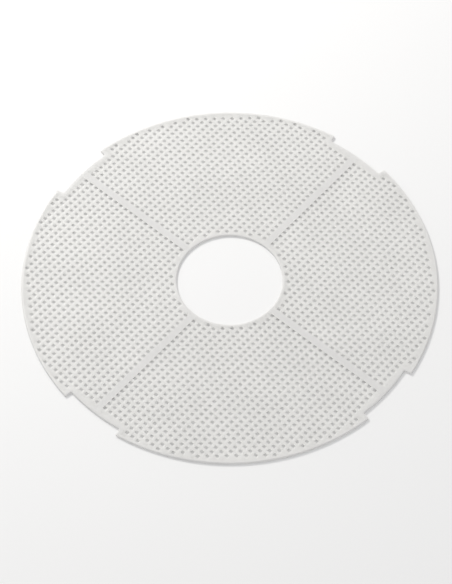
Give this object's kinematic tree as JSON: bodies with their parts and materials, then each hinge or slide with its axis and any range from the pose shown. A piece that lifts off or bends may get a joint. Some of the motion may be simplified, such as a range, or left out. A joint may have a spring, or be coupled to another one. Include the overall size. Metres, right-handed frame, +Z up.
{
  "type": "dehydrator mesh screen",
  "caption": "Thin round flexible mesh sheet with a hub opening and four edge notches, laid on a tray of a round food dehydrator.",
  "frame": {"origin": "on the hub axis, at the underside that lies on the tray", "axes": "+Z up through the hub opening; +X and +Y each run along a plain strip to the middle of a notch; the holes of the mesh are longer along Y"},
  "size_m": [0.3388, 0.3388, 0.002],
  "materials": {
    "rim_plastic": "translucent milky white, satin",
    "mesh_plastic": "translucent milky white, satin, fine mould texture"
  },
  "bodies": {
    "root": {"outer_rim": "rim_plastic", "hub_rim": "rim_plastic", "strip_east": "rim_plastic", "strip_north": "rim_plastic", "strip_west": "rim_plastic", "strip_south": "rim_plastic", "mesh_ne": "mesh_plastic", "mesh_nw": "mesh_plastic", "mesh_sw": "mesh_plastic", "mesh_se": "mesh_plastic"}
  },
  "joints": []
}
